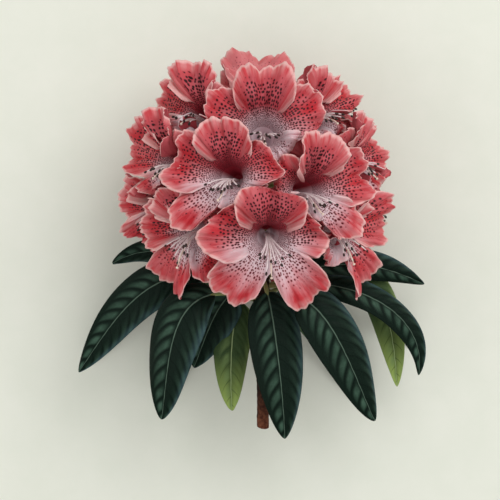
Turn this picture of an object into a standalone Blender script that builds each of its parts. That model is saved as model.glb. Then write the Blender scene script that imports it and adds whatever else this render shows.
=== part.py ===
# Cut flowering shoot of a rhododendron, lying on its side: a woody stem, the short axis of the
# truss, the truss's blooms and the whorl of leaves below it. Sizes are in millimetres.
import math
import random

import bmesh
import bpy
import numpy as np
from mathutils import Matrix, Vector

MM = 0.001
GAP = 0.3
SEED = 7

STEM_RADIUS = 4.0
STEM_CUT = (6.5, -126.0, 52.0)
STEM_WHORL = (5.0, -20.0, 74.0)
STEM_CUT_SLANT = math.radians(14)
WHORL_SWELL = 1.35

TRUSS_CENTRE = np.array((3.7, 51.7, 78.0))
AXIS_RADIUS = 3.2
AXIS_FOOT = -40.0
AXIS_TOP = 10.0

TUBE_DEPTH = 28.0
LIMB_DEPTH = 11.0
SHELL = 1.2
CLEAR = 1.4
PRESS_RANGE = 120.0
OVERSHOOT = 10.0
OVERLAP_SLOPE = 1.1
OVERLAP_START = 6.0
PRESS_SOFTNESS = 2.5
FLOOR_SOFTNESS = 1.5
FLOOR_GAP = 0.05
HOOD = 6.0
LOBE_CUP = 3.0
LOBE_SWAY = 2.0
ROW_SHARES = (0.0, 0.2, 0.44, 0.72, 1.0)
LENGTH_SHARES = np.linspace(0.3, 1.0, 36)
LOBES = 5
AROUND = 20
ALONG = 4
PEDICEL_RADIUS = 1.4
PEDICEL_COLLAR = 1.5
PEDICEL_BEND = 8.0
PEDICEL_SINK = 0.4
STAMEN_RADIUS = 0.6
STAMENS = 3
STAMEN_STAND = 10.0
STAMEN_REACH = 10.0

BLADE = 1.45
BLADE_COLUMNS = 4
BLADE_ROWS = 7
PETIOLE_RADIUS = 1.6
COLLAR = 2.5
NECK = 4

# Throat of each bloom from the centre of the truss, the length of its lobes, and its rank: where
# two blooms press together, the one of higher rank lies over the other. Lobes are counted from the
# upper one, and "trim" gives the share of their length that some of them have.
BLOOMS = {
    "bloom_front_low": {"throat": (7, -50, 56), "lobe": 50, "rank": 20},
    "bloom_front_left": {"throat": (-21, -8, 61), "lobe": 46, "rank": 19, "trim": {0: 0.85}},
    "bloom_front_right": {"throat": (34, -18, 55), "lobe": 47, "rank": 18, "trim": {0: 0.8}},
    "bloom_front_high": {"throat": (3, 22, 54), "lobe": 46, "rank": 17, "trim": {0: 0.85}},
    "bloom_low_left": {"throat": (-46, -44, 38), "lobe": 45, "rank": 15},
    "bloom_left": {"throat": (-60, 2, 36), "lobe": 43, "rank": 14, "trim": {0: 0.8, 4: 0.9}},
    "bloom_high_left": {"throat": (-42, 34, 32), "lobe": 42, "rank": 12, "trim": {0: 0.66, 4: 0.9}},
    "bloom_high_right": {"throat": (40, 35, 30), "lobe": 40, "rank": 11, "trim": {0: 0.6, 1: 0.85}},
    "bloom_top": {"throat": (-1, 46, 26), "lobe": 42, "rank": 9, "trim": {1: 0.9, 2: 0.9, 3: 0.9, 4: 0.9}},
    "bloom_right": {"throat": (66, 3, 24), "lobe": 40, "rank": 12, "trim": {0: 0.66, 1: 0.75, 2: 0.85}},
    "bloom_low_right": {"throat": (54, -44, 34), "lobe": 42, "rank": 13},
    "bloom_far_left": {"throat": (-67, -28, 6), "lobe": 40, "rank": 8, "trim": {0: 0.9, 4: 0.75}},
    "bloom_far_right": {"throat": (73, -21, -10), "lobe": 39, "rank": 7, "trim": {1: 0.9, 2: 0.86}},
    "bloom_back_low": {"throat": (2, -40, -62), "lobe": 43, "rank": 8},
    "bloom_back_left": {"throat": (-50, -4, -50), "lobe": 44, "rank": 6},
    "bloom_back_right": {"throat": (46, 2, -56), "lobe": 44, "rank": 5},
    "bloom_back_high": {"throat": (-4, 36, -60), "lobe": 44, "rank": 4},
    "bloom_back_high_left": {"throat": (-53, 36, -16), "lobe": 42, "rank": 3},
    "bloom_back_high_right": {"throat": (46, 42, -18), "lobe": 42, "rank": 2},
}
# Blooms that face another way than straight out from the truss.
FACINGS = {"bloom_far_left": (-0.66, -0.4, 0.64)}

# Each leaf: the angle round the stem where it starts, counted from the right and over the front,
# how far below the top of the stem that is, its tip, the way it runs there, how far it first reaches
# out and how far it rises doing so, the way its upper side faces, and its greatest width.
LEAVES = {
    "leaf_front_left": (125, 16, (-62, -118, 84), (-0.22, -0.97, -0.12), 53, 16, (-0.3, 0, 1), 35),
    "leaf_front_centre": (80, 9, (21, -131, 82), (0.0, -0.98, -0.2), 28, 0, (0.1, 0, 1), 33),
    "leaf_front_right": (52, 17, (81, -119, 84), (0.45, -0.88, -0.15), 50, 16, (0.3, 0, 1), 33),
    "leaf_left": (176, 8, (-117, -86, 62), (-0.5, -0.86, -0.1), 66, 26, (-0.25, 0, 1), 28),
    "leaf_inner_left": (196, 13, (-33, -80, 56), (-0.1, -0.98, -0.1), 20, 0, (-0.1, 0, 1), 26),
    "leaf_young_left": (150, 22, (-15, -113, 66), (0.1, -0.99, -0.05), 22, -6, (0.1, 0, 1), 21),
    "leaf_young_right": (330, 14, (96, -95, 52), (0.25, -0.96, -0.05), 50, 6, (0.25, 0, 1), 22),
    "leaf_curled_right": (6, 9, (109, -88, 64), (-0.36, -0.9, 0.0), 62, 17, (0.25, 0.3, 1), 24),
    "leaf_far_left": (188, 3, (-95, -14, 56), (-0.85, -0.5, -0.1), 46, 9, (-0.2, -0.3, 1), 19),
    "leaf_far_right": (346, 3, (114, -27, 52), (0.85, -0.5, -0.1), 50, 12, (0.2, -0.3, 1), 18),
    "leaf_back_far_left": (208, 17, (-112, -80, 3), (-0.5, -0.82, -0.3), 60, 34, (-0.4, 0, -1), 25),
    "leaf_back_left": (242, 8, (-57, -108, 2), (-0.25, -0.9, -0.3), 44, 4, (-0.2, 0, -1), 29),
    "leaf_back_right": (290, 13, (76, -108, 2), (0.4, -0.85, -0.3), 48, 10, (0.2, 0, -1), 28),
    "leaf_back_far_right": (322, 22, (106, -78, 3), (0.5, -0.8, -0.3), 56, 16, (0.4, 0, -1), 26),
}
YOUNG_LEAVES = ("leaf_young_left", "leaf_young_right")

for scene_object in list(bpy.data.objects):
    bpy.data.objects.remove(scene_object, do_unlink=True)

shoot = bpy.data.collections.new("rhododendron_shoot")
bpy.context.scene.collection.children.link(shoot)


def make_material(name, colour, roughness):
    material = bpy.data.materials.new(name)
    material.use_nodes = True
    shader = material.node_tree.nodes["Principled BSDF"]
    shader.inputs["Base Color"].default_value = (*colour, 1.0)
    shader.inputs["Roughness"].default_value = roughness
    shader.inputs["Metallic"].default_value = 0.0
    material.diffuse_color = (*colour, 1.0)
    return material


def unit(vector):
    vector = np.asarray(vector, float)
    return vector / np.linalg.norm(vector)


def smooth_step(low, high, value):
    share = np.clip((value - low) / (high - low), 0.0, 1.0)
    return share * share * (3.0 - 2.0 * share)


def soft_positive(value, width):
    return width * np.logaddexp(0.0, value / width)


def link_mesh(name, mesh):
    piece = bpy.data.objects.new(name, mesh)
    shoot.objects.link(piece)
    return piece


def evaluated_mesh(piece):
    bpy.context.view_layer.update()
    graph = bpy.context.evaluated_depsgraph_get()
    return bpy.data.meshes.new_from_object(piece.evaluated_get(graph))


def clean_up(mesh, distance=0.000005):
    bm = bmesh.new()
    bm.from_mesh(mesh)
    bmesh.ops.remove_doubles(bm, verts=bm.verts, dist=distance)
    bmesh.ops.dissolve_degenerate(bm, edges=bm.edges, dist=distance)
    loose = [edge for edge in bm.edges if not edge.link_faces]
    bmesh.ops.delete(bm, geom=loose, context="EDGES")
    bmesh.ops.recalc_face_normals(bm, faces=bm.faces)
    bm.to_mesh(mesh)
    bm.free()


# A round rod through the given points, as a closed mesh.
def make_rod(name, points, radii, sides_level):
    curve = bpy.data.curves.new(name, "CURVE")
    curve.dimensions = "3D"
    curve.bevel_depth = MM
    curve.bevel_resolution = sides_level
    curve.use_fill_caps = True
    spline = curve.splines.new("POLY")
    spline.points.add(len(points) - 1)
    for point, position, radius in zip(spline.points, points, radii):
        point.co = (*(np.asarray(position) * MM), 1.0)
        point.radius = radius
    rod = bpy.data.objects.new(name + "_curve", curve)
    shoot.objects.link(rod)
    mesh = evaluated_mesh(rod)
    piece = link_mesh(name, mesh)
    bpy.data.objects.remove(rod, do_unlink=True)
    clean_up(mesh)
    return piece


# Points along a cubic Bezier curve from its four handles.
def bezier(start, handle_a, handle_b, end, count):
    t = np.linspace(0.0, 1.0, count)[:, None]
    s = 1.0 - t
    start, handle_a, handle_b, end = map(np.asarray, (start, handle_a, handle_b, end))
    return s**3 * start + 3 * s * s * t * handle_a + 3 * s * t * t * handle_b + t**3 * end


# A grid of faces whose corners are placed by a rule of two numbers that run from 0 to 1.
def make_sheet(name, columns, rows, rule, thickness):
    bm = bmesh.new()
    bmesh.ops.create_grid(bm, x_segments=columns, y_segments=rows, size=1.0)
    verts = list(bm.verts)
    across = np.array([0.5 + 0.5 * vert.co.x for vert in verts])
    along = np.array([0.5 + 0.5 * vert.co.y for vert in verts])
    for vert, place in zip(verts, rule(across, along)):
        vert.co = Vector(place) * MM
    bmesh.ops.remove_doubles(bm, verts=bm.verts, dist=0.000002)
    bmesh.ops.recalc_face_normals(bm, faces=bm.faces)
    mesh = bpy.data.meshes.new(name)
    bm.to_mesh(mesh)
    bm.free()
    sheet = link_mesh(name, mesh)
    solidify = sheet.modifiers.new("Thickness", "SOLIDIFY")
    solidify.thickness = thickness * MM
    solidify.offset = 0.0
    closed = evaluated_mesh(sheet)
    sheet.modifiers.clear()
    sheet.data = closed
    return sheet


# One Boolean union joins the pieces of a bloom or a leaf.
def fuse(body, pieces, material):
    group = bpy.data.collections.new(body.name + "_parts")
    bpy.context.scene.collection.children.link(group)
    for piece in pieces:
        shoot.objects.unlink(piece)
        group.objects.link(piece)
    union = body.modifiers.new("Union", "BOOLEAN")
    union.operation = "UNION"
    union.operand_type = "COLLECTION"
    union.collection = group
    union.solver = "MANIFOLD"
    fused = evaluated_mesh(body)
    body.modifiers.clear()
    body.data = fused
    for piece in pieces:
        bpy.data.objects.remove(piece, do_unlink=True)
    bpy.data.collections.remove(group)
    clean_up(fused)
    fused.materials.clear()
    fused.materials.append(material)


def stem_point(share):
    return np.array(STEM_CUT) + (np.array(STEM_WHORL) - np.array(STEM_CUT)) * share


def axis_root(throat):
    height = min(max(0.45 * throat[1] - 16.0, AXIS_FOOT), AXIS_TOP - 4.0)
    return TRUSS_CENTRE + np.array((0.0, height, 0.0))


class Bloom:
    def __init__(self, name):
        given = BLOOMS[name]
        throat = np.array(given["throat"], float)
        self.throat = TRUSS_CENTRE + throat
        self.lobe = given["lobe"]
        self.rank = given["rank"]
        self.trim = given.get("trim", {})
        self.root = axis_root(throat)
        forward = np.array((0.0, -5.0, 12.0 if throat[2] > -10.0 else 0.0))
        self.facing = unit(FACINGS.get(name, self.throat - self.root + forward))
        up = np.array((0.0, 1.0, 0.0))
        if abs(self.facing[1]) > 0.8:
            up = np.array((0.0, 0.0, -1.0))
        self.up = unit(up - self.facing * up.dot(self.facing))
        self.side = np.cross(self.up, self.facing)
        self.mouth = self.throat + self.facing * LIMB_DEPTH
        self.room = np.ones(LOBES)


blooms = {name: Bloom(name) for name in BLOOMS}


# Outline of a corolla: how far its limb reaches from the tube at each angle round the mouth.
def limb_length(bloom, turn):
    lobe = (turn * LOBES + 0.5) % 1.0 - 0.5
    rounded = 1.0 - 0.34 * np.abs(2.0 * lobe) ** 2.8
    dorsal = 0.5 + 0.5 * np.cos(2.0 * math.pi * turn)
    return bloom.lobe * (0.94 + 0.1 * dorsal) * rounded * bloom_room(bloom, turn)


# Share of its full length that each lobe has, between its neighbours' lobes.
def bloom_room(bloom, turn):
    return np.interp(turn, np.arange(-1, LOBES + 2) / LOBES, bloom.room[np.arange(-1, LOBES + 2) % LOBES])


# Height along the axis, distance from it and slope, for each length run along the corolla.
def corolla_profile(run):
    steps = np.linspace(0.0, 90.0, 361)
    angle = np.radians(10.0 + 12.0 * smooth_step(8.0, 24.0, steps) + 66.0 * smooth_step(22.0, 44.0, steps))
    angle += np.radians(30.0) * smooth_step(50.0, 74.0, steps)
    angle[steps < 4.0] = math.pi / 2
    width = np.concatenate(([0.0], np.cumsum(np.sin(angle[:-1]) * np.diff(steps))))
    height = np.concatenate(([0.0], np.cumsum(np.cos(angle[:-1]) * np.diff(steps))))
    return np.interp(run, steps, height), np.interp(run, steps, width), np.interp(run, steps, angle)


# How far each point lies inside the space that a bloom keeps from one neighbour, and the way to
# that space's wall. The wall is upright round the tubes and leans over the lower bloom at the rim.
def wall_between(points, bloom, other):
    away = other.mouth - bloom.mouth
    middle = bloom.mouth + away * bloom.lobe / (bloom.lobe + other.lobe)
    away = unit(away)
    out = unit(middle - TRUSS_CENTRE)
    over = 1.0 if bloom.rank > other.rank else -1.0
    rise = (points - middle) @ out + OVERLAP_START
    reach = OVERLAP_SLOPE * soft_positive(rise, 5.0)
    slope = OVERLAP_SLOPE / (1.0 + np.exp(-rise / 5.0))
    normal = away[None, :] - over * slope[:, None] * out[None, :]
    size = np.linalg.norm(normal, axis=1)
    inside = -((points - middle) @ away - over * reach) / size - CLEAR
    return inside, normal / size[:, None]


def near_blooms(bloom):
    return [other for other in blooms.values() if 0.0 < np.linalg.norm(other.mouth - bloom.mouth) < PRESS_RANGE]


def keep_own_space(points, bloom):
    for other in near_blooms(bloom):
        for soft in (PRESS_SOFTNESS, 0.0, 0.0):
            inside, normal = wall_between(points, bloom, other)
            wanted = soft_positive(inside, soft) if soft else np.maximum(inside, 0.0)
            points = points - (wanted - inside)[:, None] * normal
    floor = SHELL / 2 + FLOOR_GAP
    points[:, 2] = floor + soft_positive(points[:, 2] - floor, FLOOR_SOFTNESS)
    return points


def place_corolla(bloom, turn, run, lift):
    height, width, slope = corolla_profile(run)
    height = height - TUBE_DEPTH + lift * np.sin(slope)
    width = width - lift * np.cos(slope)
    angle = 2.0 * math.pi * turn
    return (
        bloom.throat[None, :]
        + (np.cos(angle) * width)[:, None] * bloom.up[None, :]
        + (np.sin(angle) * width)[:, None] * bloom.side[None, :]
        + height[:, None] * bloom.facing[None, :]
    )


# The upper lobe stands forward like a hood, and its tip rolls back.
def hood_lift(turn, run):
    aside = np.clip(np.abs((turn + 0.5) % 1.0 - 0.5) * 2.0 * LOBES, 0.0, 1.0)
    rolled = smooth_step(33.0, 56.0, run) - 1.3 * smooth_step(60.0, 80.0, run)
    return HOOD * (1.0 - aside**3) * rolled


# Each lobe is as long as the space between its neighbours lets it be.
def find_room(bloom):
    room = np.ones(LOBES)
    for lobe in range(LOBES):
        for turn in (lobe - 0.25, lobe, lobe + 0.25):
            turns = np.full(len(LENGTH_SHARES), (turn / LOBES) % 1.0)
            run = TUBE_DEPTH + limb_length(bloom, turns) * LENGTH_SHARES
            points = place_corolla(bloom, turns, run, hood_lift(turns, run))
            inside = points[:, 2] - SHELL
            for other in near_blooms(bloom):
                inside = np.minimum(inside, wall_between(points, bloom, other)[0])
            crossed = np.nonzero(inside < -OVERSHOOT)[0]
            if len(crossed):
                room[lobe] = min(room[lobe], LENGTH_SHARES[crossed[0]])
    for lobe, share in bloom.trim.items():
        room[lobe] *= share
    bloom.room = room


def corolla_rule(bloom, wave):
    def place(across, along):
        limb = limb_length(bloom, across)
        run = np.interp(along, np.linspace(0.0, 1.0, ALONG + 1), ROW_SHARES) * (TUBE_DEPTH + limb)
        run[along < 0.01] = 0.0
        angle = 2.0 * math.pi * across
        lobe = (across * LOBES + 0.5) % 1.0 - 0.5
        lift = hood_lift(across, run) - LOBE_CUP * np.cos(2.0 * math.pi * lobe) * along**3
        lift -= LOBE_SWAY * np.sin(angle * 2.0 + wave) * along**2
        return keep_own_space(place_corolla(bloom, across, run, lift), bloom)

    return place


def make_bloom(name, material, chance):
    bloom = blooms[name]
    corolla = make_sheet(name, AROUND, ALONG, corolla_rule(bloom, chance.uniform(0, 6.3)), SHELL)
    base = bloom.throat - bloom.facing * TUBE_DEPTH
    outward = unit((base - bloom.root) * np.array((1.0, 0.0, 1.0)) + np.array((1e-6, 0.0, 0.0)))
    start = bloom.root + outward * (AXIS_RADIUS + GAP)
    neck = start + outward * PEDICEL_COLLAR
    bent = (neck + outward * PEDICEL_BEND, base - bloom.facing * PEDICEL_BEND)
    line = bezier(neck, *bent, base + bloom.facing * PEDICEL_SINK, 4)
    line = np.vstack((start, line))
    parts = [make_rod(name + "_pedicel", line, (PEDICEL_RADIUS,) * 4 + (PEDICEL_RADIUS * 1.9,), 1)]
    for index in range(STAMENS):
        turn = math.pi * (1.0 + 0.38 * (index - 1))
        spread = math.cos(turn) * bloom.up + math.sin(turn) * bloom.side
        foot = base - bloom.facing * 0.2 + spread * 1.5
        tip = bloom.throat + bloom.facing * STAMEN_STAND + spread * STAMEN_REACH
        middle = base + bloom.facing * TUBE_DEPTH * 0.6 + spread * 2.5
        line = (foot, middle, tip)
        parts.append(make_rod(f"{name}_stamen_{index}", line, (STAMEN_RADIUS,) * 2 + (STAMEN_RADIUS * 1.7,), 0))
    fuse(corolla, parts, material)


def leaf_rule(spine, facing, width):
    def place(across, along):
        count = len(spine) - 1
        position = along * count
        index = np.minimum(position.astype(int), count - 1)
        share = (position - index)[:, None]
        centre = spine[index] * (1 - share) + spine[index + 1] * share
        tangents = np.gradient(spine, axis=0)
        tangent = tangents[index] * (1 - share) + tangents[index + 1] * share
        tangent /= np.linalg.norm(tangent, axis=1)[:, None]
        side = np.cross(tangent, unit(facing)[None, :])
        side /= np.linalg.norm(side, axis=1)[:, None]
        normal = np.cross(side, tangent)
        fullness = along**0.84
        half = 0.5 * width * (4.0 * fullness * (1.0 - fullness)) ** 0.8 + 0.8
        offset = 2.0 * across - 1.0
        lift = half * (0.2 * np.abs(offset) - 0.42 * offset**2)
        points = centre + side * (half * offset)[:, None] + normal * lift[:, None]
        floor = BLADE / 2 + FLOOR_GAP
        points[:, 2] = floor + soft_positive(points[:, 2] - floor, FLOOR_SOFTNESS)
        return points

    return place


def make_leaf(name, material):
    turn, place, tip, tip_way, reach, rise, facing, width = LEAVES[name]
    along = unit(np.array(STEM_WHORL) - np.array(STEM_CUT))
    centre = np.array(STEM_WHORL) - along * place
    turn = math.radians(turn)
    outward = np.array((math.cos(turn), 0.0, math.sin(turn)))
    outward = unit(outward - along * outward.dot(along))
    start = centre + outward * (STEM_RADIUS * WHORL_SWELL + GAP)
    tip = np.array(tip, float)
    first = start + outward * reach + along * rise
    second = tip - unit(tip_way) * 0.38 * np.linalg.norm(tip - start)
    line = bezier(start + outward * COLLAR, first, second, tip, 25)
    blade = make_sheet(
        name, BLADE_COLUMNS, BLADE_ROWS, leaf_rule(line[NECK:], facing, width), BLADE
    )
    stalk = np.vstack((start, line[[0, 3, 6, 10]]))
    radii = (PETIOLE_RADIUS, PETIOLE_RADIUS, PETIOLE_RADIUS * 0.95, 1.3, 0.9)
    petiole = make_rod(name + "_petiole", stalk, radii, 1)
    fuse(blade, [petiole], material)


def make_stem(material):
    shares = (0.0, 0.06, 0.3, 0.6, 0.7, 0.76, 0.98, 1.0)
    radii = (1.0, 0.98, 0.92, 0.92, 1.0, WHORL_SWELL, WHORL_SWELL, 1.2)
    line = [stem_point(share) for share in shares]
    stem = make_rod("stem", line, [STEM_RADIUS * radius for radius in radii], 3)
    stem.data.materials.append(material)
    bm = bmesh.new()
    bm.from_mesh(stem.data)
    along = Vector(unit(np.array(STEM_WHORL) - np.array(STEM_CUT)))
    slanted = along.copy()
    slanted.rotate(Matrix.Rotation(STEM_CUT_SLANT, 3, "Y") @ Matrix.Rotation(STEM_CUT_SLANT, 3, "X"))
    cut = bmesh.ops.bisect_plane(
        bm,
        geom=list(bm.verts) + list(bm.edges) + list(bm.faces),
        plane_co=Vector(stem_point(0.02)) * MM,
        plane_no=-slanted,
        clear_outer=True,
    )
    rim = [part for part in cut["geom_cut"] if isinstance(part, bmesh.types.BMEdge)]
    bmesh.ops.contextual_create(bm, geom=rim)
    bmesh.ops.recalc_face_normals(bm, faces=bm.faces)
    bm.to_mesh(stem.data)
    bm.free()


def make_axis(material):
    along = unit(np.array(STEM_WHORL) - np.array(STEM_CUT))
    start = np.array(STEM_WHORL) + along * GAP
    foot = TRUSS_CENTRE + np.array((0.0, AXIS_FOOT, 0.0))
    top = TRUSS_CENTRE + np.array((0.0, AXIS_TOP, 0.0))
    line = [start, start + along * 5.0, foot, foot * 0.5 + top * 0.5, top]
    radii = (STEM_RADIUS, AXIS_RADIUS * 1.1, AXIS_RADIUS, AXIS_RADIUS, AXIS_RADIUS * 0.8)
    axis = make_rod("truss_axis", line, radii, 3)
    axis.data.materials.append(material)


petal = make_material("petal_coral", (0.69, 0.13, 0.14), 0.55)
dark_leaf = make_material("leaf_dark_green", (0.008, 0.034, 0.024), 0.35)
young_leaf = make_material("leaf_young_green", (0.22, 0.38, 0.08), 0.45)
bark = make_material("bark_red_brown", (0.15, 0.03, 0.02), 0.8)
green_stalk = make_material("stalk_green", (0.25, 0.3, 0.1), 0.6)

seeded = random.Random(SEED)
make_stem(bark)
make_axis(green_stalk)
for each_bloom in blooms.values():
    find_room(each_bloom)
for bloom_name in BLOOMS:
    make_bloom(bloom_name, petal, seeded)
for leaf_name in LEAVES:
    make_leaf(leaf_name, young_leaf if leaf_name in YOUNG_LEAVES else dark_leaf)

# The part's origin is under the middle of the box round it, on the ground it lies on.
corners = np.array([piece.matrix_world @ vert.co for piece in shoot.objects for vert in piece.data.vertices])
low, high = corners.min(axis=0), corners.max(axis=0)
to_origin = Matrix.Translation((-(low[0] + high[0]) / 2, -(low[1] + high[1]) / 2, -low[2]))

for piece in shoot.objects:
    piece.data.transform(to_origin)
    piece.data.shade_smooth()
    piece.data.set_sharp_from_angle(angle=math.radians(50))
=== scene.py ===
# A cut flowering shoot of a rhododendron: a dense truss of spotted coral blooms over a whorl of
# dark leaves and a short cut stem. It lies on a pale floor and is seen from straight above.
# Lengths are in millimetres until the meshes are written.
import math
import random

import bmesh
import bpy
import numpy as np
from mathutils import Matrix, Vector


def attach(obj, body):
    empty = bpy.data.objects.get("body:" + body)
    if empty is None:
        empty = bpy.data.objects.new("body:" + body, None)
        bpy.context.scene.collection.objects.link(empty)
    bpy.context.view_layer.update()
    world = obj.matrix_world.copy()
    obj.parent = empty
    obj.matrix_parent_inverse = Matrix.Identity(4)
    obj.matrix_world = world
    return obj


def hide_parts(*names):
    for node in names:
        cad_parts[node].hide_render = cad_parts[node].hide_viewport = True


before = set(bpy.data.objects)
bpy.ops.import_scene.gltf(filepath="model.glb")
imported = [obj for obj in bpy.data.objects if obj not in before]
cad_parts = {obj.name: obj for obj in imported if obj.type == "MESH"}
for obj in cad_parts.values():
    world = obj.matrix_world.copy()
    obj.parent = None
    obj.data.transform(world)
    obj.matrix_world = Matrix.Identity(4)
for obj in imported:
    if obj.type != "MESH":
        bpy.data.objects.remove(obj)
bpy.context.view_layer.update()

tau = 2.0 * math.pi
mm = 0.001
mapSpan = 100.0  # the millimetres that one step of a map stands for
chance = random.Random(23)

# Where the shoot's main parts are while it is modelled, and the shift from there to the frame.
shoot = {
    "shift": (-0.315, -1.2471, -1.2571),
    "trussCentre": (3.7, 51.7, 78.0),
    "stemCut": (6.5, -126.0, 52.0),
    "stemTop": (5.0, -20.0, 74.0),
    "stemRadius": 4.0,
    "axisRadius": 3.2,
    "height": 155.0,  # no petal or leaf stands higher than this
}
trussCentre = np.array(shoot["trussCentre"])
stemCut = np.array(shoot["stemCut"])
stemTop = np.array(shoot["stemTop"])
floorHeight = -shoot["shift"][2]


def unit(vector):
    vector = np.asarray(vector, float)
    return vector / np.linalg.norm(vector)


def smoothStep(low, high, value):
    share = np.clip((value - low) / (high - low), 0.0, 1.0)
    return share * share * (3.0 - 2.0 * share)


def softPositive(value, width):
    return width * np.logaddexp(0.0, value / width)


def bezier(start, handleA, handleB, end, t):
    t = np.asarray(t, float)[:, None]
    s = 1.0 - t
    return s**3 * start + 3 * s * s * t * handleA + 3 * s * t * t * handleB + t**3 * end


def newGrid():
    bm = bmesh.new()
    bm.loops.layers.uv.new("gridMap")
    bm.faces.layers.int.new("patch")
    return bm


# One grid of faces, its corners placed by a rule of two numbers that run from 0 to 1.
def addPatch(bm, columns, rows, place, patch=0, material=0):
    made = bmesh.ops.create_grid(bm, x_segments=columns, y_segments=rows, size=1.0, calc_uvs=True)
    verts = made["verts"]
    across = np.array([0.5 + 0.5 * vert.co.x for vert in verts])
    along = np.array([0.5 + 0.5 * vert.co.y for vert in verts])
    for vert, position in zip(verts, place(across, along)):
        vert.co = position
    layer = bm.faces.layers.int["patch"]
    for face in {face for vert in verts for face in vert.link_faces}:
        face[layer] = patch
        face.material_index = material
        face.smooth = True


# A round rod along a line, its ends drawn in to a point.
def addRod(bm, line, radii, sides, material=0, relief=None):
    line = np.asarray(line, float)
    radii = np.asarray(radii, float)
    tangent = np.gradient(line, axis=0)
    tangent /= np.linalg.norm(tangent, axis=1)[:, None]
    reference = np.zeros(3)
    reference[np.argmin(np.abs(tangent.mean(axis=0)))] = 1.0
    side = np.cross(tangent, reference)
    side /= np.linalg.norm(side, axis=1)[:, None]
    other = np.cross(side, tangent)
    last = len(line) - 1

    def place(across, along):
        row = np.rint(along * last).astype(int)
        turn = across * tau
        radius = radii[row] * (1.0 if relief is None else relief(across, row / last))
        sideways = (radius * np.cos(turn))[:, None] * side[row]
        return line[row] + sideways + (radius * np.sin(turn))[:, None] * other[row]

    addPatch(bm, sides, last, place, 0, material)


# Writes a finished mesh in metres, its faces turned outward or, for a sheet, to the given way.
def finishPiece(name, bm, materials, nodes, upward=None, weld=0.002):
    bmesh.ops.remove_doubles(bm, verts=bm.verts, dist=weld)
    bmesh.ops.recalc_face_normals(bm, faces=bm.faces)
    if upward is not None:
        facing = sum((face.normal * face.calc_area() for face in bm.faces), Vector())
        if facing.dot(Vector(upward)) < 0.0:
            bmesh.ops.reverse_faces(bm, faces=bm.faces)
    bmesh.ops.translate(bm, verts=bm.verts, vec=Vector(shoot["shift"]))
    bmesh.ops.scale(bm, verts=bm.verts, vec=(mm, mm, mm))
    mesh = bpy.data.meshes.new(name)
    bm.to_mesh(mesh)
    bm.free()
    for material in materials:
        mesh.materials.append(material)
    piece = bpy.data.objects.new(name, mesh)
    bpy.context.scene.collection.objects.link(piece)
    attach(piece, "root")
    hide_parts(*nodes)
    return piece


def addThickness(piece, thickness):
    solidify = piece.modifiers.new("Thickness", "SOLIDIFY")
    solidify.thickness = thickness * mm
    solidify.offset = 0.0
    solidify.material_offset = 1
    solidify.material_offset_rim = 0


# Turns the plain grid map into maps that the materials read, corner by corner.
def writeMaps(mesh, rule):
    corners = len(mesh.loops)
    flat = np.empty(corners * 2)
    mesh.uv_layers["gridMap"].data.foreach_get("uv", flat)
    patches = np.empty(len(mesh.polygons), int)
    mesh.attributes["patch"].data.foreach_get("value", patches)
    sizes = np.empty(len(mesh.polygons), int)
    mesh.polygons.foreach_get("loop_total", sizes)
    maps = rule(np.repeat(patches, sizes), flat[0::2], flat[1::2])
    for name, (first, second) in maps.items():
        layer = mesh.uv_layers.new(name=name)
        layer.data.foreach_set("uv", np.stack((first, second), axis=1).ravel())


def hexColour(text):
    channels = [int(text[place : place + 2], 16) / 255 for place in (1, 3, 5)]
    return (*[c / 12.92 if c <= 0.04045 else ((c + 0.055) / 1.055) ** 2.4 for c in channels], 1.0)


def newMaterial(name, **sockets):
    material = bpy.data.materials.new(name)
    material.use_nodes = True
    shader = material.node_tree.nodes["Principled BSDF"]
    for key, value in sockets.items():
        shader.inputs[key.replace("_", " ")].default_value = value
    return material, material.node_tree


# Adds one node. The values after its kind feed the inputs in use, in their order, and a keyword with
# a capital feeds the input of that name; other keywords are settings. A text is a hex colour.
def addNode(tree, kind, *fed, give=0, **named):
    node = tree.nodes.new("ShaderNode" + kind)
    for key in named:
        if key[0].islower():
            setattr(node, key, named[key])
    pairs = list(zip([socket for socket in node.inputs if socket.enabled], fed))
    pairs += [(node.inputs[key], named[key]) for key in named if key[0].isupper()]
    for socket, value in pairs:
        if isinstance(value, bpy.types.NodeSocket):
            tree.links.new(value, socket)
        else:
            socket.default_value = hexColour(value) if isinstance(value, str) else value
    return [socket for socket in node.outputs if socket.enabled][give]


# Lays colours over a ground, each as far as the product of its shares lets it show.
def layOver(tree, colour, *layers):
    for *shares, over in layers:
        share = shares[0]
        for factor in shares[1:]:
            share = addNode(tree, "Math", share, factor, operation="MULTIPLY")
        colour = addNode(tree, "Mix", share, colour, over, data_type="RGBA")
    return colour


# Gives the surface its colour, and a relief from a height map.
def finishMaterial(material, colour, height, strength, depth):
    tree = material.node_tree
    shader = tree.nodes["Principled BSDF"]
    relief = addNode(tree, "Bump", Strength=strength, Distance=depth, Height=height)
    tree.links.new(colour, shader.inputs["Base Color"])
    tree.links.new(relief, shader.inputs["Normal"])
    return material


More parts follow.
